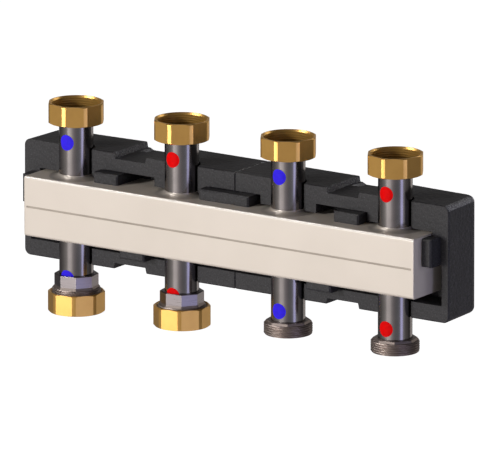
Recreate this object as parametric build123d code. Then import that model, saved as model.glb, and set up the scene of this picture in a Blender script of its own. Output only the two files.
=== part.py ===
from build123d import *
import os
from math import sin

# Heating manifold for two circuits: a square chamber box crossed by four vertical pipes,
# union nuts on the pipe ends, and a rear insulation of two moulded foam shells.
# Frame in millimetres: X along the box, Y towards the wall, Z up; the origin is the centre
# of the box, on the plane of the pipe axes, and the fronts of the foam shells lie at Y = 0.

# Driving dimensions: pipes
pipe_pitch = 125.0
pipe_count = 4
pipe_outer_r = 33.7 / 2
pipe_wall = 3.25
port_r = 9.0

# Driving dimensions: chamber box
box_side = 60.0
box_overhang = 41.5
sheet = 3.0
box_edge_r = 2.5
partition_sheet = 2.0
partition_z = -0.2
seam_depth = 0.6
flare_width = 9.95
flare_height = 3.6
flare_lip = 0.4

# Driving dimensions: union nuts
thread_r = 23.9
thread_clearance = 0.05
nut_wall = 2.6
nut_corner_rise = 1.45
nut_height = 20.4
nut_lip = 4.0
nut_mouth_chamfer = 1.65
nut_relief_depth = 0.45
nut_relief_height = 5.0
nut_corner_drop = 0.8
nut_corner_cut = 1.4
nut_turn = 8.8
lower_nut_turn = 29.3
nut_pipe_clearance = 0.1
nut_axial_play = 0.3
ring_recess_width = 2.45
ring_recess_depth = 2.2
top_nut_z = 84.2
lower_nut_z = (-105.5, -102.2)

# Driving dimensions: seats, wire rings and gaskets
seat_gap = 1.95
seat_height = 2.8
seat_chamfer = 0.6
wire_r = 0.9
wire_groove_depth = 0.6
wire_gap_angle = 30.0
groove_clearance = 0.05
gasket_gap = 0.2
gasket_overlap = 1.9
gasket_height = 1.5

# Driving dimensions: lower ends
spigot_thread_top = -81.0
spigot_thread_length = 11.5
spigot_boss_height = 2.2
spigot_chamfer = 1.0
socket_depth = 9.2
octagon_wall = 3.15
octagon_height = 11.4
octagon_turn = 33.3
octagon_chamfer = 0.5

# Driving dimensions: round marks
mark_r = 7.75
mark_sheet = 0.2
mark_top_z = 66.4
mark_low_z = -67.5
mark_low_octagon_z = -69.5

# Driving dimensions: outside of the foam shells
shell_head = 29.3
shell_foot = 27.4
shell_back_wall = 28.0
shell_end_wall = 8.0
shell_end_taper = 4.0
shell_back_corner_r = 12.0
shell_rim_r = 6.5
shell_front_rim_r = 1.5
seam_bevel = 1.0

# Driving dimensions: pocket for the box, channels for the pipes and slots between them
pocket_top_gap = 2.0
pocket_foot_gap = 10.7
pocket_end_gap = 1.5
end_recess = 12.5
channel_gap = 1.65
relief_width = 3.9
relief_height = 2.0
slot_wall = 32.5
slot_height = 11.0

# Driving dimensions: stepped notches across the top and bottom of the shells
notch_offset = 1.0
notch_half_width = 18.1
notch_draft = 1.4
notch_depth = 6.0
notch_back_half_width = 11.0
notch_back_depth = 8.1
notch_back_y = 39.0
notch_knee_half_width = 15.0
notch_knee_depth = 6.4

# Driving dimensions: foam fingers that grip the box, each as its two ends from the middle of its gap;
# there is one in each gap on top, and one in each outer gap below
lug_front = -13.0
lug_height = 10.4
lug_low_height = 12.3
lug_bevel = 1.5
lug_clearance = 0.3
top_lugs = ((-33.4, -5.2), (-34.2, 24.2), (-1.2, 27.9))
low_lugs = ((-3.0, 26.0), (-33.5, -4.6))
end_lug_front = -17.2
end_lug_thickness = 11.0
end_lug_low = 0.3
end_lug_drop = 1.8
overshoot = 1.0
tiny = 0.001

# Sizes that follow: box and pipes
half_side = box_side / 2
half_length = pipe_pitch * (pipe_count - 1) / 2 + box_overhang
plate_x = half_length - sheet
pipe_x = tuple(pipe_pitch * (i - (pipe_count - 1) / 2) for i in range(pipe_count))
gap_x = tuple((a + b) / 2 for a, b in zip(pipe_x, pipe_x[1:]))
partition_low = partition_z - partition_sheet / 2
partition_high = partition_z + partition_sheet / 2
pipe_inner_r = pipe_outer_r - pipe_wall
flare_r = pipe_outer_r + flare_width

# Sizes that follow: nuts, seats and lower ends
nut_thread_r = thread_r + thread_clearance
nut_flat_r = nut_thread_r + nut_wall
nut_corner_r = nut_flat_r + nut_corner_rise
seat_r = nut_thread_r - seat_gap
gasket_outer_r = seat_r - gasket_gap
gasket_inner_r = pipe_inner_r + gasket_overlap
octagon_flat_r = pipe_outer_r + octagon_wall
pipe_top = top_nut_z + nut_lip + nut_axial_play + seat_height
spigot_low = spigot_thread_top - spigot_thread_length
spigot_boss_top = spigot_thread_top + spigot_boss_height
pipe_low = spigot_boss_top - socket_depth
octagon_top = spigot_boss_top + octagon_height
wire_z = top_nut_z + ring_recess_depth - nut_axial_play - wire_r
wire_path_r = pipe_outer_r + wire_r - wire_groove_depth

# Sizes that follow: shells
shell_top = half_side + shell_head
shell_bottom = -half_side - shell_foot
shell_depth = half_side + shell_back_wall
recess_x = half_length + end_recess
shell_half_length = recess_x + shell_end_wall
pocket_top = half_side + pocket_top_gap
pocket_bottom = -half_side - pocket_foot_gap
channel_r = pipe_outer_r + channel_gap
slot_half_width = pipe_pitch / 2 - slot_wall


def ring(outer_r, inner_r, low, high):
    """A plain ring about the Z axis between two heights."""
    height = high - low
    solid = Cylinder(outer_r, height) - Cylinder(inner_r, height)
    return Pos(0, 0, (low + high) / 2) * solid


def block(low, high):
    """A box between two corners."""
    size = [b - a for a, b in zip(low, high)]
    middle = [(a + b) / 2 for a, b in zip(low, high)]
    return Pos(*middle) * Box(*size)


def turned(*points):
    """A solid of revolution about Z from a closed outline of (radius, height) points."""
    outline = Polyline(*[(r, 0, z) for r, z in points], close=True)
    return revolve(make_face(outline), Axis.Z)


def octagon(flat_r, turn, low, high):
    """An upright eight-sided prism, with one corner turned from the X axis."""
    outline = RegularPolygon(flat_r, 8, major_radius=False, rotation=turn)
    return Pos(0, 0, low) * extrude(outline, high - low)


def union_nut(turn):
    """An octagonal union nut standing on its lip: threaded mouth up, relief groove, lip bore."""
    envelope = turned(
        (0, 0),
        (nut_corner_r - nut_corner_cut, 0),
        (nut_corner_r, nut_corner_drop),
        (nut_corner_r, nut_height - nut_corner_drop),
        (nut_corner_r - nut_corner_cut, nut_height),
        (0, nut_height),
    )
    bore_r = pipe_outer_r + nut_pipe_clearance
    ring_recess_r = pipe_outer_r + ring_recess_width
    relief_r = nut_thread_r + nut_relief_depth
    bore = turned(
        (0, 0),
        (ring_recess_r, 0),
        (ring_recess_r, ring_recess_depth),
        (bore_r, ring_recess_depth),
        (bore_r, nut_lip),
        (relief_r, nut_lip),
        (relief_r, nut_lip + nut_relief_height),
        (nut_thread_r, nut_lip + nut_relief_height),
        (nut_thread_r, nut_height - nut_mouth_chamfer),
        (nut_thread_r + nut_mouth_chamfer, nut_height),
        (0, nut_height),
    )
    return (octagon(nut_flat_r, turn, 0, nut_height) & envelope) - bore


def seat_flange():
    """The flat-faced ring at a pipe's top end, which the nut's lip catches under."""
    low = pipe_top - seat_height
    solid = ring(seat_r, pipe_outer_r, low, pipe_top)
    rims = solid.edges().filter_by(GeomType.CIRCLE).filter_by(lambda e: e.radius > pipe_outer_r + overshoot)
    return chamfer(rims, seat_chamfer)


def wire_ring():
    """An open ring of round wire in a groove of the pipe, below the nut's lip."""
    section = Plane.XZ * Pos(wire_path_r, wire_z) * Circle(wire_r)
    return revolve(section, Axis.Z, 360 - wire_gap_angle)


def gasket(low):
    """A flat sealing ring."""
    return ring(gasket_outer_r, gasket_inner_r, low, low + gasket_height)


def pipe(port_z):
    """A pipe with a wire groove near its top and two round ports into its own chamber."""
    tube = ring(pipe_outer_r, pipe_inner_r, pipe_low, pipe_top)
    groove = revolve(Plane.XZ * Pos(wire_path_r, wire_z) * Circle(wire_r + groove_clearance), Axis.Z)
    ports = Pos(0, 0, port_z) * Rot(0, 90, 0) * Cylinder(port_r, 2 * (pipe_outer_r + overshoot))
    return tube - groove - ports


def threaded_spigot():
    """The lower pipe end: a round threaded spigot under a short octagonal boss."""
    boss = octagon(octagon_flat_r, octagon_turn, spigot_thread_top, spigot_boss_top)
    thread = turned(
        (0, spigot_low),
        (thread_r - spigot_chamfer, spigot_low),
        (thread_r, spigot_low + spigot_chamfer),
        (thread_r, spigot_thread_top - spigot_chamfer / 2),
        (thread_r - spigot_chamfer / 2, spigot_thread_top),
        (0, spigot_thread_top),
    )
    bore = turned(
        (0, spigot_low),
        (pipe_inner_r, spigot_low),
        (pipe_inner_r, pipe_low),
        (pipe_outer_r, pipe_low),
        (pipe_outer_r, spigot_boss_top),
        (0, spigot_boss_top),
    )
    return boss + thread - bore


def octagon_collar():
    """The octagon above a spigot, for the spanner that holds the pipe end."""
    prism = octagon(octagon_flat_r, octagon_turn, spigot_boss_top, octagon_top)
    edges = prism.faces().sort_by(Axis.Z)[-1].edges()
    prism = chamfer(edges, octagon_chamfer)
    middle = (spigot_boss_top + octagon_top) / 2
    return prism - Pos(0, 0, middle) * Cylinder(pipe_outer_r, octagon_height + 2 * overshoot)


def mark(z, floor=None):
    """A thin round sticker wrapped on the front of a pipe, cut off below a floor height."""
    half_width = pipe_outer_r * sin(mark_r / pipe_outer_r)
    outline = Plane.XZ * Pos(0, z) * Ellipse(half_width, mark_r)
    reach = pipe_outer_r + mark_sheet + overshoot
    wrap = ring(pipe_outer_r + mark_sheet, pipe_outer_r, z - mark_r, z + mark_r)
    sticker = wrap & extrude(outline, reach)
    if floor is not None:
        sticker -= block((-reach, -reach, floor - 2 * mark_r), (reach, reach, floor))
    return sticker


def channel(edge_z, side):
    """A folded channel of the box, open towards the partition; side is 1 above, -1 below."""
    depth = half_side - side * edge_z
    inner_side = box_side - 2 * sheet
    outer = RectangleRounded(box_side, 2 * depth, box_edge_r)
    profile = outer - Rectangle(inner_side, 2 * (depth - sheet))
    profile -= Pos(0, -depth) * Rectangle(box_side, 2 * depth)
    solid = extrude(Plane.YZ * profile, plate_x, both=True)
    neck_r = pipe_outer_r + flare_lip
    neck_z = depth + flare_height
    curve = Bezier((flare_r, 0, depth), (neck_r, 0, depth), (neck_r, 0, neck_z))
    rest = Polyline(
        (neck_r, 0, neck_z),
        (pipe_outer_r, 0, neck_z),
        (pipe_outer_r, 0, depth - sheet),
        (flare_r, 0, depth - sheet),
        (flare_r, 0, depth),
    )
    flare = revolve(make_face(curve + rest), Axis.Z)
    hole = Pos(0, 0, depth) * Cylinder(pipe_outer_r, 2 * (sheet + flare_height))
    for x in pipe_x:
        solid = solid + Pos(x, 0, 0) * flare
        solid = solid - Pos(x, 0, 0) * hole
    if side < 0:
        solid = Rot(180, 0, 0) * solid
    return Pos(0, 0, edge_z) * solid


def partition():
    """The plate between the two chambers, set back in the seam of the box."""
    half_depth = half_side - seam_depth
    plate = block((-plate_x, -half_depth, partition_low), (plate_x, half_depth, partition_high))
    for x in pipe_x:
        plate -= Pos(x, 0, partition_z) * Cylinder(pipe_outer_r, 2 * partition_sheet)
    return plate


def end_plate(side):
    """A square plate that closes one end of the box."""
    plate = extrude(Plane.YZ * RectangleRounded(box_side, box_side, box_edge_r), sheet)
    start = plate_x if side > 0 else -half_length
    return Pos(start, 0, 0) * plate


def lug(x_low, x_high, side, seat_back):
    """A foam finger that grips the box from above or below, bevelled at its front."""
    height = lug_height if side > 0 else lug_low_height
    low = half_side if side > 0 else -half_side - height
    solid = block((x_low, lug_front, low), (x_high, seat_back, low + height))
    front = solid.faces().sort_by(Axis.Y)[0]
    outer = front.edges().sort_by(Axis.Z)[-1 if side > 0 else 0]
    ends = front.edges().filter_by(Axis.Z)
    return chamfer([outer, *ends], lug_bevel)


def notch(x, side):
    """A stepped recess across the top or bottom of a shell, deeper and with sloped knees at its back."""
    face = shell_top if side > 0 else shell_bottom
    rim = (notch_half_width + notch_draft * (notch_depth + overshoot) / notch_depth, -overshoot)
    front = [(notch_half_width, notch_depth), rim]
    back = [(notch_back_half_width, notch_back_depth), (notch_knee_half_width, notch_knee_depth), rim]
    cuts = []
    for start, steps in ((-overshoot, front), (notch_back_y, back)):
        half = [(w, face - side * d) for w, d in steps]
        outline = [(x + w, 0, z) for w, z in half] + [(x - w, 0, z) for w, z in reversed(half)]
        reach = shell_depth + overshoot - start
        profile = make_face(Polyline(*outline, close=True))
        cuts.append(Pos(0, start, 0) * extrude(profile, reach, dir=(0, 1, 0)))
    return cuts


def shell_blank(side):
    """One foam block with a tapered end, rounded rims and a bevelled inner edge."""
    tip = side * shell_half_length
    back = side * (shell_half_length - shell_end_taper)
    corners = [(0, 0), (tip, 0), (back, shell_depth), (0, shell_depth)]
    outline = make_face(Polyline(*corners, close=True))
    back_corner = outline.vertices().sort_by_distance((back, shell_depth, 0))[0]
    outline = fillet(back_corner, shell_back_corner_r)
    blank = Pos(0, 0, shell_bottom) * extrude(outline, shell_top - shell_bottom)
    flat = blank.edges().filter_by(Axis.Z, reverse=True)
    rim = [e for e in flat if abs(e.center().X) > overshoot and e.center().Y > overshoot]
    blank = fillet(rim, shell_rim_r)
    front = [e for e in blank.edges() if abs(e.center().Y) < tiny and abs(e.center().X) > tiny]
    blank = fillet(front, shell_front_rim_r)
    seam = [e for e in blank.edges() if abs(e.center().X) < tiny]
    return chamfer(seam, seam_bevel)


def rear_shell(side):
    """One moulded foam half: pocket for the box, channels for the pipes, slots and lugs."""
    shell = shell_blank(side)
    pocket_x = half_length + pocket_end_gap
    shell -= block((-pocket_x, -overshoot, pocket_bottom), (pocket_x, half_side, pocket_top))
    shell -= block((-recess_x, -overshoot, pocket_bottom), (recess_x, half_side, end_lug_low))
    for x in pipe_x:
        height = shell_top - shell_bottom + 2 * overshoot
        middle = (shell_top + shell_bottom) / 2
        shell -= Pos(x, 0, middle) * Cylinder(channel_r, height)
        shell -= Pos(x, 0, pocket_top) * Cone(channel_r + relief_width, channel_r, 2 * relief_height)
    for x in gap_x:
        slot_low = (x - slot_half_width, -overshoot, 0)
        shell -= block(slot_low, (x + slot_half_width, half_side, half_side + slot_height))
        if abs(x) > slot_half_width:
            for cut in notch(x + notch_offset, 1) + notch(x + notch_offset, -1):
                shell -= cut
    outer_gaps = (gap_x[0], gap_x[-1])
    for gaps, lugs, face in ((gap_x, top_lugs, 1), (outer_gaps, low_lugs, -1)):
        for gap_middle, (start, stop) in zip(gaps, lugs):
            x_low, x_high = gap_middle + start, gap_middle + stop
            crosses_seam = x_low < 0 < x_high
            if crosses_seam and side < 0:
                shell += lug(x_low, 0, face, half_side + overshoot)
                shell += lug(x_low, x_high, face, half_side - lug_clearance)
            elif not crosses_seam and side * x_low > 0:
                shell += lug(x_low, x_high, face, half_side + overshoot)
    end_low = (half_length, end_lug_front, end_lug_low)
    end_high = (half_length + end_lug_thickness, half_side, half_side - end_lug_drop)
    finger = block(end_low, end_high)
    finger = chamfer(finger.faces().sort_by(Axis.Y)[0].edges(), lug_bevel)
    shell += finger if side > 0 else mirror(finger, Plane.YZ)
    return shell


parts = {
    "upper_channel": channel(partition_high, 1),
    "lower_channel": channel(partition_low, -1),
    "partition_plate": partition(),
    "end_plate_left": end_plate(-1),
    "end_plate_right": end_plate(1),
    "rear_shell_left": rear_shell(-1),
    "rear_shell_right": rear_shell(1),
}

# Pipes in order from the left: return and flow of circuit 1, return and flow of circuit 2
upper_port_z = (partition_high + half_side - sheet) / 2
lower_port_z = (partition_low - half_side + sheet) / 2
for i, x in enumerate(pipe_x):
    circuit = i // 2 + 1
    duty = "flow" if i % 2 else "return"
    place = Pos(x, 0, 0)
    has_octagon = i < len(lower_nut_z)
    low_mark = (mark_low_octagon_z, octagon_top) if has_octagon else (mark_low_z, None)
    parts[f"{duty}_pipe_{circuit}"] = place * pipe(upper_port_z if i % 2 else lower_port_z)
    parts[f"{duty}_mark_{circuit}_top"] = place * mark(mark_top_z)
    parts[f"{duty}_mark_{circuit}_low"] = place * mark(*low_mark)
    parts[f"seat_flange_{i + 1}"] = place * seat_flange()
    parts[f"wire_ring_{i + 1}"] = place * wire_ring()
    parts[f"top_gasket_{i + 1}"] = place * gasket(pipe_top)
    parts[f"top_nut_{i + 1}"] = Pos(x, 0, top_nut_z) * union_nut(nut_turn)
    parts[f"threaded_spigot_{i + 1}"] = place * threaded_spigot()
    if has_octagon:
        z = lower_nut_z[i]
        parts[f"octagon_collar_{i + 1}"] = place * octagon_collar()
        parts[f"lower_nut_{i + 1}"] = Pos(x, 0, z) * union_nut(lower_nut_turn)
        parts[f"lower_gasket_{i + 1}"] = place * gasket(z + nut_lip)

os.makedirs("parts", exist_ok=True)
for name, shape in parts.items():
    export_step(shape, f"parts/{name}.step")
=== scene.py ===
"""Looks of a heating manifold: satin box, drawn steel pipes, brass union nuts and black bead foam."""
import math

import bmesh
import bpy
import numpy as np
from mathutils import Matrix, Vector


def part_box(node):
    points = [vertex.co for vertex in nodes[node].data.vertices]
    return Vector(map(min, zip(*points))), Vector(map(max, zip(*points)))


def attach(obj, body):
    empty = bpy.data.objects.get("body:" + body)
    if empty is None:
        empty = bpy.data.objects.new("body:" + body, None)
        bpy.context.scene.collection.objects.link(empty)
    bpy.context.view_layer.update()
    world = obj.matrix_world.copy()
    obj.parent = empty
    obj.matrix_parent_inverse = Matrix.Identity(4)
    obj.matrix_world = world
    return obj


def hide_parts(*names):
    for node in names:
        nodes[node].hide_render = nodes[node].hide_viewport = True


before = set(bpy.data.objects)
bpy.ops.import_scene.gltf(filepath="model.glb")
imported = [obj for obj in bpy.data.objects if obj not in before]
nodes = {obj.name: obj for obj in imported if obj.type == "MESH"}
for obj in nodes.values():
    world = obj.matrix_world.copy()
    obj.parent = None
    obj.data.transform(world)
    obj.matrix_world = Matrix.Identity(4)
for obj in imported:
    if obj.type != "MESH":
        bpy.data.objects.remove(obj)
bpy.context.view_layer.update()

MM = 0.001
PIPES = 4


# Shader nodes and materials

class Shading:
    """The shader nodes of one tree, added by kind."""

    def __init__(self, tree):
        self.tree = tree

    def add(self, kind, **sockets):
        """A node of that kind, with sockets set by name: a value is set, a socket is linked."""
        node = self.tree.nodes.new(kind)
        self.fill(node, sockets)
        return node

    def fill(self, node, sockets):
        """Sets or links a node's inputs by name; a name such as _0 picks an input by its place."""
        for name, value in sockets.items():
            socket = node.inputs[int(name[1:])] if name[0] == "_" else node.inputs[name.replace("_", " ")]
            if isinstance(value, bpy.types.NodeSocket):
                self.tree.links.new(value, socket)
            else:
                socket.default_value = value

    def maths(self, operation, first, second):
        """One step of arithmetic on two values."""
        node = self.add("ShaderNodeMath", _0=first, _1=second)
        node.operation = operation
        return node.outputs["Value"]

    def ramp(self, factor, *stops):
        """Colours by factor, given as (place, colour) pairs."""
        node = self.add("ShaderNodeValToRGB", Fac=factor)
        band = node.color_ramp.elements
        while len(band) < len(stops):
            band.new(0.5)
        for element, (place, colour) in zip(band, stops):
            element.position = place
            element.color = (*colour, 1.0)
        return node.outputs["Color"]

    def range(self, factor, low, high, start=0.0, stop=1.0):
        """Factor from start to stop, carried over to low to high."""
        sockets = {"Value": factor, "From_Min": start, "From_Max": stop, "To_Min": low, "To_Max": high}
        return self.add("ShaderNodeMapRange", **sockets).outputs["Result"]


class Finish(Shading):
    """A material under construction: a Principled shader and the nodes that feed it."""

    def __init__(self, name):
        self.material = bpy.data.materials.new(name)
        self.material.use_nodes = True
        super().__init__(self.material.node_tree)
        self.shader = self.tree.nodes["Principled BSDF"]

    def shade(self, **sockets):
        """Sets or links the shader's own sockets."""
        self.fill(self.shader, sockets)

    def place(self, scale=(1.0, 1.0, 1.0)):
        """Object coordinates, stretched by a scale."""
        source = self.add("ShaderNodeTexCoord").outputs["Object"]
        return self.add("ShaderNodeMapping", Vector=source, Scale=scale).outputs["Vector"]

    def noise(self, size, stretch=(1.0, 1.0, 1.0), detail=3.0, rough=0.5):
        """Noise with features of about that size in metres, drawn out along an axis by a small factor."""
        place = self.place(tuple(factor / size for factor in stretch))
        node = self.add("ShaderNodeTexNoise", Vector=place, Scale=1.0, Detail=detail, Roughness=rough)
        return node.outputs["Fac"]

    def bump(self, height, depth, normal=None):
        """Bump of that depth in metres."""
        sockets = {"Height": height, "Strength": 1.0, "Distance": depth}
        if normal is not None:
            sockets["Normal"] = normal
        return self.add("ShaderNodeBump", **sockets).outputs["Normal"]

    def facing(self, first, second, start, stop):
        """How far a face turns towards two axes at once: 0 to 1 as the product of its normal's two parts goes
        from start to stop."""
        normal = self.add("ShaderNodeTexCoord").outputs["Normal"]
        parts = self.add("ShaderNodeSeparateXYZ", Vector=normal).outputs
        return self.range(self.maths("MULTIPLY", parts[first], parts[second]), 0.0, 1.0, start, stop)

    def mix(self, share, one, other):
        """The first colour, passing into the other by share."""
        return self.add("ShaderNodeMixRGB", Fac=share, Color1=one, Color2=other).outputs["Color"]


def box_finish():
    """Warm satin sheet steel with a faint rolling grain along the box, and a painted highlight lightening the
    top front bend.
    """
    finish = Finish("satin_box")
    # Painted highlight: faces turned both forwards and up are mixed towards a near-white colour.
    edge_highlight = finish.facing("Y", "Z", -0.10, -0.36)
    grain = finish.noise(0.0008, stretch=(0.03, 1.0, 1.0), detail=4.0)
    cloud = finish.noise(0.06, detail=2.0)
    sheet = finish.ramp(cloud, (0.25, (0.74, 0.675, 0.60)), (0.75, (0.79, 0.722, 0.645)))
    finish.shade(
        Base_Color=finish.mix(edge_highlight, sheet, (1.0, 0.96, 0.90, 1.0)),
        Metallic=0.15,
        Roughness=finish.range(grain, 0.38, 0.46),
        Normal=finish.bump(grain, 0.000008),
        Coat_Weight=0.8,
        Coat_Roughness=0.16,
    )
    return finish.material


def pipe_finish():
    """Bright drawn tube with fine lines along it."""
    finish = Finish("drawn_pipe")
    lines = finish.noise(0.0006, stretch=(1.0, 1.0, 0.015), detail=4.0)
    cloud = finish.noise(0.02, detail=2.0)
    finish.shade(
        Base_Color=finish.ramp(cloud, (0.3, (0.28, 0.265, 0.265)), (0.7, (0.33, 0.31, 0.31))),
        Metallic=1.0,
        Roughness=finish.range(lines, 0.12, 0.20),
        Normal=finish.bump(lines, 0.000003),
    )
    return finish.material


def fitting_finish():
    """Turned steel with fine tool marks round the axis."""
    finish = Finish("turned_fitting")
    marks = finish.noise(0.0005, stretch=(0.03, 0.03, 1.0), detail=3.0)
    finish.shade(
        Base_Color=finish.ramp(marks, (0.3, (0.235, 0.215, 0.225)), (0.7, (0.28, 0.257, 0.265))),
        Metallic=1.0,
        Roughness=finish.range(marks, 0.24, 0.34),
        Normal=finish.bump(marks, 0.000004),
    )
    return finish.material


def brass_finish():
    """Machined brass with a faint cloud and fine marks round the nut."""
    finish = Finish("machined_brass")
    marks = finish.noise(0.0008, stretch=(0.05, 0.05, 1.0), detail=3.0)
    cloud = finish.noise(0.012, detail=2.0)
    finish.shade(
        Base_Color=finish.ramp(cloud, (0.3, (0.82, 0.475, 0.13)), (0.7, (0.88, 0.52, 0.145))),
        Metallic=0.82,
        Roughness=finish.range(marks, 0.30, 0.34),
        Normal=finish.bump(marks, 0.000001),
    )
    return finish.material


def shaded_mouth_finish():
    """Rougher brass of the threaded mouth, its colour darkened as painted shade inside the nut."""
    finish = Finish("shaded_mouth_brass")
    marks = finish.noise(0.0006, stretch=(0.05, 0.05, 1.0), detail=3.0)
    finish.shade(
        Base_Color=finish.ramp(marks, (0.3, (0.56, 0.33, 0.085)), (0.7, (0.62, 0.365, 0.095))),
        Metallic=0.7,
        Roughness=finish.range(marks, 0.42, 0.50),
        Normal=finish.bump(marks, 0.000002),
    )
    return finish.material


def foam_finish():
    """Black bead foam: fused beads of about 3 mm, dimples between them and a fine speckle, with a painted
    highlight on the rims that look up and to the right."""
    finish = Finish("bead_foam")
    beads = finish.add("ShaderNodeTexVoronoi", Vector=finish.place(), Scale=300.0)
    beads.feature = "SMOOTH_F1"
    pores = finish.noise(0.0016, detail=5.0, rough=0.7)
    tone = finish.ramp(
        pores,
        (0.34, (0.012, 0.012, 0.014)),
        (0.55, (0.027, 0.027, 0.032)),
        (0.72, (0.083, 0.083, 0.094)),
    )
    # Painted highlight: a lighter speckle mixed onto the rims that look up and to the right.
    rim_highlight = finish.ramp(
        pores,
        (0.38, (0.03, 0.03, 0.034)),
        (0.52, (0.13, 0.13, 0.14)),
        (0.62, (0.30, 0.30, 0.32)),
    )
    rim = finish.facing("X", "Z", 0.13, 0.32)
    bead_bump = finish.bump(finish.range(beads.outputs["Distance"], 1.0, 0.0), 0.0004)
    finish.shade(
        Base_Color=finish.mix(rim, tone, rim_highlight),
        Roughness=finish.range(pores, 0.5, 0.75),
        Normal=finish.bump(pores, 0.00012, bead_bump),
        Specular_IOR_Level=0.5,
    )
    return finish.material


def sticker_finish(name, colour):
    """Matt printed film with a faint mottle."""
    finish = Finish(name)
    mottle = finish.noise(0.003, detail=2.0)
    dark = tuple(0.86 * c for c in colour)
    finish.shade(
        Base_Color=finish.ramp(mottle, (0.3, dark), (0.7, colour)),
        Roughness=finish.range(mottle, 0.42, 0.55),
        Normal=finish.bump(mottle, 0.00001),
        Specular_IOR_Level=0.03,
    )
    return finish.material


def rubber_finish():
    """Dark sealing rubber."""
    finish = Finish("sealing_rubber")
    grain = finish.noise(0.0006, detail=3.0)
    finish.shade(
        Base_Color=finish.ramp(grain, (0.3, (0.018, 0.018, 0.02)), (0.7, (0.035, 0.034, 0.036))),
        Roughness=finish.range(grain, 0.6, 0.75),
        Normal=finish.bump(grain, 0.00002),
    )
    return finish.material


def flare_finish():
    """The box's steel, drawn smooth at the flares round the pipes."""
    finish = Finish("drawn_flare")
    marks = finish.noise(0.0008, stretch=(0.1, 0.1, 1.0), detail=2.0)
    finish.shade(
        Base_Color=finish.ramp(marks, (0.3, (0.50, 0.46, 0.42)), (0.7, (0.56, 0.515, 0.47))),
        Metallic=0.5,
        Roughness=finish.range(marks, 0.32, 0.38),
        Normal=finish.bump(marks, 0.000002),
    )
    return finish.material


def seam_shade_finish():
    """Edge of the partition plate in the seam, its steel painted dark to stand for the shade in the groove.
    """
    finish = Finish("seam_painted_shade")
    stain = finish.noise(0.004, stretch=(0.2, 1.0, 1.0), detail=3.0)
    finish.shade(
        Base_Color=finish.ramp(stain, (0.3, (0.36, 0.32, 0.275)), (0.7, (0.48, 0.43, 0.375))),
        Metallic=0.3,
        Roughness=finish.range(stain, 0.5, 0.65),
        Normal=finish.bump(stain, 0.00002),
    )
    return finish.material


def thread_finish():
    """Cut thread in brownish oiled steel."""
    finish = Finish("cut_thread")
    marks = finish.noise(0.0006, stretch=(0.05, 0.05, 1.0), detail=3.0)
    finish.shade(
        Base_Color=finish.ramp(marks, (0.3, (0.36, 0.30, 0.28)), (0.7, (0.46, 0.40, 0.37))),
        Metallic=1.0,
        Roughness=finish.range(marks, 0.40, 0.50),
        Normal=finish.bump(marks, 0.000003),
    )
    return finish.material


box_steel = box_finish()
pipe_steel = pipe_finish()
fitting_steel = fitting_finish()
brass = brass_finish()
foam = foam_finish()
blue_film = sticker_finish("blue_film", (0.048, 0.027, 1.0))
red_film = sticker_finish("red_film", (0.92, 0.003, 0.004))
rubber = rubber_finish()
flare_steel = flare_finish()
seam_shade_steel = seam_shade_finish()
shaded_mouth_brass = shaded_mouth_finish()
thread_steel = thread_finish()

FINISHES = (
    (("upper_channel", "lower_channel", "end_plate"), box_steel),
    # The partition plate is painted dark: painted shade for the groove of the seam.
    (("partition_plate",), seam_shade_steel),
    (("return_pipe", "flow_pipe"), pipe_steel),
    (("seat_flange", "threaded_spigot", "octagon_collar", "wire_ring"), fitting_steel),
    (("top_nut", "lower_nut"), brass),
    (("rear_shell",), foam),
    (("return_mark",), blue_film),
    (("flow_mark",), red_film),
    (("top_gasket", "lower_gasket"), rubber),
)
for name, piece in nodes.items():
    for starts, finish in FINISHES:
        if name.startswith(starts):
            piece.data.materials.clear()
            piece.data.materials.append(finish)


# Sizes, as in the CAD unless they are only seen in the picture

PITCH = 25.4 / 11 * MM
THREAD_DEPTH = 1.2 * MM
PIPE_R = 33.7 / 2 * MM
PIPE_WALL = 3.25 * MM
SPIGOT_R = 23.9 * MM
SPIGOT_BORE = PIPE_R - PIPE_WALL
SPIGOT_CHAMFER = 1.0 * MM
SOCKET_DEPTH = 9.2 * MM
BOSS_R = 20.0 * MM
BOSS_FOOT_R = 21.1 * MM
BOSS_HEIGHT = 2.2 * MM
BOSS_TURN = math.radians(33.3)
NUT_BORE = 23.95 * MM
NUT_THREAD_START = 9.0 * MM
NUT_MOUTH = 1.65 * MM
NUT_THREAD_DEPTH = 0.16 * MM
NUT_THREAD_SKIN = 0.1 * MM
NUT_THREAD_SINK = 0.3 * MM
BOX_HALF = 30.0 * MM
BOX_CORNER_R = 2.5 * MM
SHEET = 3.0 * MM
PLATE_EDGE = 0.9 * MM
FLARE_R = 26.8 * MM
FLARE_NECK_R = 17.25 * MM
FLARE_HEIGHT = 3.6 * MM
FLARE_SINK = 0.5 * MM
MARK_R = 7.75 * MM
MARK_SHEET = 0.2 * MM
RIM_R = 6.5 * MM
RIM_STRAIGHT = 233.0 * MM
RIM_FADE = 10.0 * MM
FRONT_RIM_R = 1.5 * MM
FRONT_RIM_STRAIGHT = 50.0 * MM
FRONT_RIM_FADE = 6.0 * MM

# How the surfaces are worked out: SKIN is how far one lies over or under the CAD's surface, points closer
# than MERGE become one, and the rest are steps round an axis, rows along a section, and the shape and reach
# of the crisper rims

SKIN = 0.05 * MM
MERGE = 0.001 * MM
ROUND_STEPS = 192
PLATE_STEPS = 160
SPIGOT_ROWS = 73
NUT_THREAD_ROWS = 61
FLARE_ROWS = 25
MARK_ROWS = 25
MARK_COLUMNS = 49
PLATE_EDGE_ROWS = 9
RIM_POWER = 8
RIM_NEAR = 0.1
RIM_FACING = 0.9


# Pieces made here, most of them as surfaces worked out on a grid of points

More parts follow.
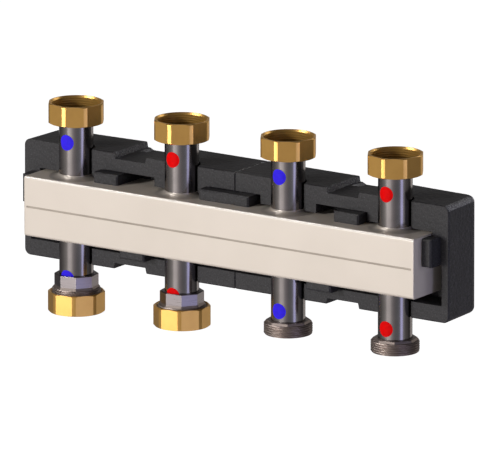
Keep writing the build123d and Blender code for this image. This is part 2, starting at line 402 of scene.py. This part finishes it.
def grid_piece(name, grid, finish, closed=(True, True), sharp=35.0):
    """A surface over two parameters from an array of points (row, column, xyz). Rows and columns may each
    close on themselves, points that fall together, as at a pole, become one, and edges of more than that
    many degrees stay sharp."""
    rows, columns = grid.shape[:2]
    steps = np.arange(rows - (not closed[0])), np.arange(columns - (not closed[1]))
    row, column = np.meshgrid(*steps, indexing="ij")
    after, beside = (row + 1) % rows, (column + 1) % columns
    around = ((row, column), (row, beside), (after, beside), (after, column))
    faces = np.stack([r * columns + c for r, c in around], axis=-1)
    mesh = bpy.data.meshes.new(name)
    mesh.from_pydata(grid.reshape(-1, 3).tolist(), [], faces.reshape(-1, 4).tolist())
    form = bmesh.new()
    form.from_mesh(mesh)
    bmesh.ops.remove_doubles(form, verts=form.verts, dist=MERGE)
    bmesh.ops.recalc_face_normals(form, faces=form.faces)
    form.to_mesh(mesh)
    form.free()
    mesh.shade_smooth()
    mesh.set_sharp_from_angle(angle=math.radians(sharp))
    mesh.materials.append(finish)
    piece = bpy.data.objects.new(name, mesh)
    bpy.context.collection.objects.link(piece)
    return piece


def turn_angles(steps=ROUND_STEPS):
    """Angles once round, without the last."""
    return np.linspace(0.0, 2 * np.pi, steps, endpoint=False)


def ring_surface(name, radius, height, finish, centre=(0.0, 0.0)):
    """A closed ring about an upright axis from two arrays, radius and height, each over (section point,
    angle): x = cx + r cos(a), y = cy + r sin(a), z = h."""
    angle = turn_angles(radius.shape[1])
    x, y = centre[0] + radius * np.cos(angle), centre[1] + radius * np.sin(angle)
    return grid_piece(name, np.stack([x, y, height], axis=-1), finish)


def helix_wave(height, angle):
    """Depth from crest (0) to root (1) of a rounded thread: half a cosine of the place within the pitch."""
    return 0.5 - 0.5 * np.cos(2 * np.pi * (height / PITCH - angle / (2 * np.pi)))


def span(node):
    """A node's centre in plan, its lowest and its highest point."""
    low, high = (np.array(corner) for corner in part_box(node))
    return (low + high)[:2] / 2, low[2], high[2]


def spigot(number):
    """Male pipe end: a bore, a rounded helical thread with a run-in chamfer, and an octagonal boss on top.
    The boss widens downwards; over the angle its radius is that to a flat, divided by the cosine of the angle
    from the flat's middle."""
    centre, low, high = span(f"threaded_spigot_{number}")
    angle = turn_angles()
    top = high - BOSS_HEIGHT
    height = np.linspace(low, top, SPIGOT_ROWS)[:, None] + 0 * angle
    edge = np.minimum(height - low, top - height)
    crest = SPIGOT_R - np.maximum(SPIGOT_CHAMFER - edge, 0.0)
    radius = np.minimum(crest, SPIGOT_R - THREAD_DEPTH * helix_wave(height, angle))
    eighth = np.pi / 4
    from_corner = (angle - BOSS_TURN + eighth / 2) % eighth - eighth / 2
    boss = 1 / np.cos(eighth / 2 - np.abs(from_corner))
    turn = np.ones_like(angle)
    rows = [
        (SPIGOT_BORE * turn, low * turn),
        *zip(radius, height),
        (BOSS_FOOT_R * boss, top * turn),
        (BOSS_R * boss, high * turn),
        (PIPE_R * turn, high * turn),
        (PIPE_R * turn, (high - SOCKET_DEPTH) * turn),
        (SPIGOT_BORE * turn, (high - SOCKET_DEPTH) * turn),
    ]
    piece = ring_surface(
        f"spigot_thread_{number}",
        np.array([r for r, _ in rows])[::-1],
        np.array([h for _, h in rows])[::-1],
        thread_steel,
        centre,
    )
    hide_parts(f"threaded_spigot_{number}")
    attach(piece, "manifold")


def nut_thread(number):
    """Shallow female thread inside a top nut: a helical wave, its back sunk in the nut's wall."""
    centre, low, high = span(f"top_nut_{number}")
    angle = turn_angles()
    low, high = low + NUT_THREAD_START, high - NUT_MOUTH
    height = np.linspace(low, high, NUT_THREAD_ROWS)[:, None] + 0 * angle
    ends = np.clip(np.minimum(height - low, high - height) / PITCH, 0.0, 1.0)
    wave = NUT_BORE - NUT_THREAD_SKIN - NUT_THREAD_DEPTH * ends * (1 - helix_wave(height, angle))
    back = np.full_like(height[:2], NUT_BORE + NUT_THREAD_SINK)
    radius = np.concatenate([wave, back])
    height = np.concatenate([height, height[[-1, 0]]])
    # The thread takes the darkened brass: painted shade inside the nut.
    piece = ring_surface(f"nut_thread_{number}", radius, height, shaded_mouth_brass, centre)
    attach(piece, f"union_nut_top_{number}")


def flare_collar(number, side):
    """Smooth skin of the drawn collar where a pipe leaves the box; side is 1 on top, -1 below. Its outline is
    the curve r = R(1-t)^2 + r0(1-(1-t)^2), h = H t^2, closed inside the sheet and the pipe's wall."""
    centre = span(f"threaded_spigot_{number}")[0]
    t = np.linspace(0.0, 1.0, FLARE_ROWS)
    radius = FLARE_R * (1 - t) ** 2 + FLARE_NECK_R * (1 - (1 - t) ** 2) + SKIN
    height = FLARE_HEIGHT * t ** 2 + SKIN
    inside = PIPE_R - 2 * SKIN
    radius = np.concatenate([radius, [inside, inside, FLARE_R + SKIN]])
    height = np.concatenate([height, [FLARE_HEIGHT + SKIN, -FLARE_SINK, -FLARE_SINK]])
    turn = np.ones(ROUND_STEPS)
    radius, height = np.outer(radius, turn), side * (BOX_HALF + np.outer(height, turn))
    name = f"flare_{'top' if side > 0 else 'low'}_{number}"
    piece = ring_surface(name, radius, height, flare_steel, centre)
    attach(piece, "manifold")


def round_mark(node, finish):
    """A round sticker wrapped on the front of a pipe: over its own flat plane (u, w) it lies at
    x = R sin(u/R), y = -R cos(u/R), and its outline is a circle, cut off where the pipe's octagon begins."""
    low, high = (np.array(corner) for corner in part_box(node))
    centre_x = (low[0] + high[0]) / 2
    centre_z = high[2] - MARK_R
    floor_w = low[2] - centre_z
    reach = MARK_R if floor_w < -MARK_R + SKIN else math.sqrt(MARK_R ** 2 - max(floor_w, 0.0) ** 2)
    u = reach * np.sin(np.linspace(-np.pi / 2, np.pi / 2, MARK_COLUMNS))
    top = np.sqrt(np.maximum(MARK_R ** 2 - u ** 2, 0.0))
    bottom = np.maximum(-top, min(floor_w, 0.0)) if floor_w <= 0 else np.full_like(u, floor_w)
    share = np.linspace(0.0, 1.0, MARK_ROWS)
    face = bottom + np.outer(share, top - bottom)
    w = np.concatenate([face, face[::-1]])
    radius = np.concatenate([np.full_like(face, PIPE_R + MARK_SHEET), np.full_like(face, PIPE_R - SKIN)])
    x, y = centre_x + radius * np.sin(u / PIPE_R), -radius * np.cos(u / PIPE_R)
    grid = np.stack([x, y, centre_z + w], axis=-1)
    piece = grid_piece(f"{node}_film", grid, finish, closed=(True, False), sharp=50.0)
    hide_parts(node)
    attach(piece, "manifold")


def foam_shell(node):
    """A foam half with the long back rims and the upright front edge crisper than the CAD's roundings.
    The CAD's points are merged where they coincide, and its normals are carried over corner by corner."""
    low, high = (np.array(corner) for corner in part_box(node))
    source = nodes[node].data
    place = np.empty(3 * len(source.vertices))
    source.vertices.foreach_get("co", place)
    corners = np.empty(len(source.loops), dtype=np.int64)
    source.loops.foreach_get("vertex_index", corners)
    normals = np.empty(3 * len(source.loops), dtype=np.float32)
    source.corner_normals.foreach_get("vector", normals)
    place = place.reshape(-1, 3)
    first, join = np.unique(np.round(place / MERGE), axis=0, return_index=True, return_inverse=True)[1:]
    faces = join.reshape(-1)[corners].reshape(-1, 3)
    whole = (faces != np.roll(faces, 1, axis=1)).all(axis=1)
    place, faces = place[first], faces[whole]
    normals = normals.reshape(-1, 3, 3)[whole].reshape(-1, 3).astype(float)

    side = -1 if abs(low[0]) > abs(high[0]) else 1
    end = low[0] if side < 0 else high[0]
    along = np.clip((RIM_STRAIGHT - np.abs(place[:, 0])) / RIM_FADE, 0.0, 1.0)
    upright = np.clip((FRONT_RIM_STRAIGHT - np.abs(place[:, 2])) / FRONT_RIM_FADE, 0.0, 1.0)
    crisp_edge(place, normals, faces, (1, high[1], 1), (2, high[2], 1), RIM_R, along)
    crisp_edge(place, normals, faces, (1, high[1], 1), (2, low[2], -1), RIM_R, along)
    crisp_edge(place, normals, faces, (0, end, side), (1, 0.0, -1), FRONT_RIM_R, upright)

    mesh = bpy.data.meshes.new(f"{node}_form")
    mesh.from_pydata(place, [], faces)
    mesh.shade_smooth()
    mesh.normals_split_custom_set(normals.tolist())
    mesh.materials.append(foam)
    piece = bpy.data.objects.new(f"{node}_form", mesh)
    bpy.context.collection.objects.link(piece)
    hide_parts(node)
    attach(piece, "manifold")


def crisp_edge(place, normals, faces, first, second, radius, weight):
    """Turns one rounded edge into a crisper one. Two faces, each given as its axis, place and side, meet at
    the edge. A point at (a, b) from the rounding's centre moves out to where a^n + b^n is constant, n being
    RIM_POWER, by its weight, and the normals of its corners follow that curve."""
    (axis_a, limit_a, side_a), (axis_b, limit_b, side_b) = first, second
    a = side_a * (place[:, axis_a] - limit_a) + radius
    b = side_b * (place[:, axis_b] - limit_b) + radius
    reach = np.maximum(np.hypot(a, b), MERGE)
    on_edge = (a > -MERGE) & (b > -MERGE) & (np.abs(reach - radius) < RIM_NEAR * radius)
    a, b = np.maximum(a, 0.0) / reach, np.maximum(b, 0.0) / reach
    out = np.where(on_edge, weight * ((a ** RIM_POWER + b ** RIM_POWER) ** (-1 / RIM_POWER) - 1), 0.0)
    corners = faces.ravel()
    radial = np.zeros_like(normals)
    radial[:, axis_a], radial[:, axis_b] = side_a * a[corners], side_b * b[corners]
    curved = np.zeros_like(normals)
    curved[:, axis_a] = side_a * a[corners] ** (RIM_POWER - 1)
    curved[:, axis_b] = side_b * b[corners] ** (RIM_POWER - 1)
    curved /= np.maximum(np.linalg.norm(curved, axis=1, keepdims=True), 1e-9)
    outward = (normals * radial).sum(axis=1) > RIM_FACING
    share = np.where(on_edge[corners] & outward, weight[corners], 0.0)[:, None]
    normals += share * (curved - normals)
    normals /= np.linalg.norm(normals, axis=1, keepdims=True)
    place[:, axis_a] += side_a * a * reach * out
    place[:, axis_b] += side_b * b * reach * out


def end_cover(node, side):
    """An end plate with softened outer edges: its rounded square outline shrinks by d over a quarter circle,
    d = e(1 - cos q), x = e sin q, and then to the middle of the face."""
    low, high = (np.array(corner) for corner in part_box(node))
    inner = low[0] if side > 0 else high[0]
    q = np.linspace(0.0, np.pi / 2, PLATE_EDGE_ROWS)
    shrink = np.concatenate([[BOX_HALF, 0.0], PLATE_EDGE * (1 - np.cos(q)), [BOX_HALF / 2, BOX_HALF]])
    place = np.concatenate([[0.0, 0.0], SHEET - PLATE_EDGE + PLATE_EDGE * np.sin(q), [SHEET, SHEET]])
    angle = turn_angles(PLATE_STEPS) + np.pi / PLATE_STEPS
    corner_r = np.maximum(BOX_CORNER_R - shrink, 0.0)[:, None]
    core = BOX_HALF - shrink[:, None] - corner_r
    y = np.sign(np.cos(angle)) * core + corner_r * np.cos(angle)
    z = np.sign(np.sin(angle)) * core + corner_r * np.sin(angle)
    x = inner + side * place[:, None] + 0 * angle
    piece = grid_piece(f"{node}_soft", np.stack([x, y, z], axis=-1), box_steel, closed=(False, True))
    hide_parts(node)
    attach(piece, "manifold")


for number in range(1, PIPES + 1):
    spigot(number)
    nut_thread(number)
    flare_collar(number, 1)
    flare_collar(number, -1)
for node in list(nodes):
    if node.startswith("return_mark"):
        round_mark(node, blue_film)
    elif node.startswith("flow_mark"):
        round_mark(node, red_film)
end_cover("end_plate_left", -1)
end_cover("end_plate_right", 1)
foam_shell("rear_shell_left")
foam_shell("rear_shell_right")


# Floor, lights and camera

VIEW_AZIMUTH = math.radians(34.3)
VIEW_ELEVATION = math.radians(13.9)
PICTURE_WIDTH = 500
PIXELS_PER_METRE = 1029.9
LENS = 1450.0
SENSOR = 36.0
AIM_RIGHT = 0.0146
AIM_UP = 0.00636
FLOOR_DROP = 1.9
FLOOR_HALF = 60.0
WARM = (1.0, 0.97, 0.93)
PALE = (1.0, 0.98, 0.96)

# The surroundings' colour by turn from the camera's side, in degrees to the right, and how they dim as the
# upward part of the look goes from DIM_FROM to DIM_TO
PANEL_STRENGTH = 2.0
OVERHEAD_STRENGTH = 0.2
DIM_FROM = 0.1
DIM_TO = 0.45
SURROUNDINGS = (
    (-180.0, (0.60, 0.58, 0.56)),
    (-168.0, (0.40, 0.39, 0.38)),
    (-155.0, (0.10, 0.10, 0.10)),
    (-128.0, (0.11, 0.10, 0.10)),
    (-102.0, (0.22, 0.21, 0.20)),
    (-83.0, (0.37, 0.35, 0.33)),
    (-66.0, (0.50, 0.47, 0.45)),
    (-54.0, (1.05, 0.98, 0.95)),
    (-36.0, (1.05, 0.98, 0.95)),
    (-24.0, (0.58, 0.54, 0.54)),
    (-11.0, (0.36, 0.33, 0.34)),
    (2.0, (0.26, 0.25, 0.26)),
    (18.0, (0.25, 0.25, 0.27)),
    (33.0, (0.36, 0.36, 0.42)),
    (37.0, (1.12, 1.13, 1.78)),
    (48.0, (1.12, 1.13, 1.78)),
    (54.0, (0.42, 0.41, 0.42)),
    (74.0, (0.17, 0.16, 0.16)),
    (92.0, (0.13, 0.12, 0.12)),
    (110.0, (0.04, 0.04, 0.04)),
    (120.0, (0.12, 0.12, 0.12)),
    (128.0, (0.80, 0.74, 0.70)),
    (138.0, (0.80, 0.74, 0.70)),
    (148.0, (0.15, 0.15, 0.15)),
    (168.0, (0.40, 0.39, 0.38)),
    (180.0, (0.60, 0.58, 0.56)),
)

right = np.array([math.cos(VIEW_AZIMUTH), math.sin(VIEW_AZIMUTH), 0.0])
ahead = np.array([-right[1], right[0], 0.0])
away = ahead * math.cos(VIEW_ELEVATION) - np.array([0, 0, math.sin(VIEW_ELEVATION)])
up = np.cross(right, away)
target = AIM_RIGHT * right + AIM_UP * up
distance = PICTURE_WIDTH / PIXELS_PER_METRE * LENS / SENSOR


def emitter(name, where, size, colour, power):
    """A soft rectangular lamp that looks at the origin, unseen by the camera."""
    data = bpy.data.lights.new(name, "AREA")
    data.shape = "RECTANGLE"
    data.size, data.size_y = size
    data.color = colour
    data.energy = power
    lamp = bpy.data.objects.new(name, data)
    lamp.location = where
    x, y, z = where
    lamp.rotation_euler = (math.acos(z / math.hypot(x, y, z)), 0.0, math.atan2(-y, -x) - math.pi / 2)
    lamp.visible_camera = False
    bpy.context.collection.objects.link(lamp)
    return lamp


def panel_place(turn, rise, reach):
    """A place at that turn from the camera's side, in degrees to the right, that rise and that reach."""
    turn, rise = math.radians(turn) + VIEW_AZIMUTH, math.radians(rise)
    level = reach * math.cos(rise)
    return (level * math.sin(turn), -level * math.cos(turn), reach * math.sin(rise))


def floor():
    """A plain pale floor, far enough down that no shadow of the wall-mounted part shows."""
    mesh = bpy.data.meshes.new("floor")
    corners = [(x * FLOOR_HALF, y * FLOOR_HALF, -FLOOR_DROP) for x, y in ((-1, -1), (1, -1), (1, 1), (-1, 1))]
    mesh.from_pydata(corners, [], [(0, 1, 2, 3)])
    finish = Finish("pale_floor")
    finish.shade(
        Base_Color=(0.9, 0.9, 0.9, 1.0),
        Roughness=0.9,
        Emission_Color=(1.0, 1.0, 1.0, 1.0),
        Emission_Strength=1.0,
    )
    mesh.materials.append(finish.material)
    plane = bpy.data.objects.new("floor", mesh)
    plane.visible_glossy = False
    plane.visible_diffuse = False
    bpy.context.collection.objects.link(plane)


def studio():
    """Surroundings that the metal mirrors, told apart by the angle round the object from the camera's side:
    dark gaps, a wide warm panel to the left, a narrow cool one to the right and a pale wall behind. They grow
    dim overhead."""
    world = bpy.data.worlds.new("studio")
    world.use_nodes = True
    shading = Shading(world.node_tree)
    look = shading.add("ShaderNodeTexCoord").outputs["Generated"]
    to_view = (0.0, 0.0, -VIEW_AZIMUTH)
    turned = shading.add("ShaderNodeMapping", Vector=look, Rotation=to_view).outputs["Vector"]
    parts = shading.add("ShaderNodeSeparateXYZ", Vector=turned).outputs
    angle = shading.maths("ARCTAN2", parts["X"], shading.maths("MULTIPLY", parts["Y"], -1.0))
    stops = [(turn / 360 + 0.5, [c / PANEL_STRENGTH for c in colour]) for turn, colour in SURROUNDINGS]
    band = shading.ramp(shading.range(angle, 0.0, 1.0, -math.pi, math.pi), *stops)
    strength = shading.range(parts["Z"], PANEL_STRENGTH, OVERHEAD_STRENGTH, DIM_FROM, DIM_TO)
    shading.fill(shading.tree.nodes["Background"], {"Color": band, "Strength": strength})
    return world


# Each lamp: its name, place, size, colour and power. Soft lamps light only the matt part of a surface, and
# glint lamps show only in its mirroring part.
SOFT_LAMPS = (
    ("key", (-1.36, -2.32, 0.80), (0.3, 0.3), WARM, 47.0),
    ("side", (2.3, 1.0, 0.4), (0.8, 0.8), (0.80, 0.84, 1.0), 5.0),
    ("back", (0.6, 2.4, 0.6), (1.2, 1.2), (1.0, 0.98, 0.95), 40.0),
    ("sky", (0.0, -0.2, 2.4), (1.6, 1.6), PALE, 1.5),
)
GLINT_LAMPS = (
    ("edge", (-1.32, -0.55, 1.90), (0.5, 0.9), WARM, 18.0),
    ("spark", panel_place(-55.0, 1.0, 2.7), (0.5, 0.5), WARM, 30.0),
    ("ledge_left", panel_place(-47.0, 39.0, 2.4), (0.9, 0.7), PALE, 4.0),
    ("ledge_right", panel_place(133.0, 39.0, 2.4), (0.9, 0.7), PALE, 4.0),
)

floor()
for lamp in SOFT_LAMPS:
    emitter(*lamp).visible_glossy = False
for lamp in GLINT_LAMPS:
    emitter(*lamp).visible_diffuse = False

scene = bpy.context.scene
scene.world = studio()
scene.view_settings.view_transform = "Standard"

camera_data = bpy.data.cameras.new("camera")
camera_data.lens = LENS
camera_data.sensor_width = SENSOR
camera_data.clip_start = 1.0
camera_data.clip_end = 2000.0
camera = bpy.data.objects.new("camera", camera_data)
camera.location = target - distance * away
camera.rotation_euler = (math.pi / 2 - VIEW_ELEVATION, 0.0, VIEW_AZIMUTH)
bpy.context.collection.objects.link(camera)
scene.camera = camera
